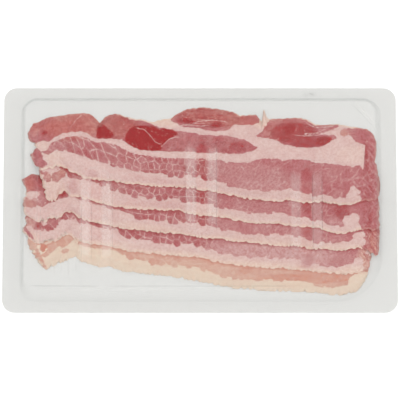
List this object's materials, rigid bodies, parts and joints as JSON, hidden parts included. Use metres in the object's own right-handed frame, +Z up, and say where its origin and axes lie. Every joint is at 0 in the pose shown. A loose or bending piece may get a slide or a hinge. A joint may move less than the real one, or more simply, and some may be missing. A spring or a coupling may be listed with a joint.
{
  "type": "clear pack of streaky bacon rashers",
  "caption": "Sealed clear thermoformed pack with sunken ribs, holding overlapping streaky bacon rashers that lie in a shingled row on a flat film.",
  "frame": {"origin": "on the underside of the flat film, under the middle of the pack", "axes": "+X along the pack's long side, +Z up out of the formed, ribbed side, +Y towards the back of the uppermost rasher"},
  "size_m": [0.24, 0.14, 0.016],
  "materials": {
    "clear_shell": "clear, glossy, slightly milky formed plastic",
    "clear_film": "clear, glossy flat film",
    "bacon": "moist raw streaky bacon, dark pink lean with pale fat",
    "bacon_pale": "moist raw streaky bacon, pale pink-orange lean with cream fat"
  },
  "bodies": {
    "root": {"tray_shell": "clear_shell", "lid_film": "clear_film", "rasher_1": "bacon", "rasher_2": "bacon", "rasher_3": "bacon", "rasher_4": "bacon", "rasher_5": "bacon_pale"}
  },
  "joints": []
}
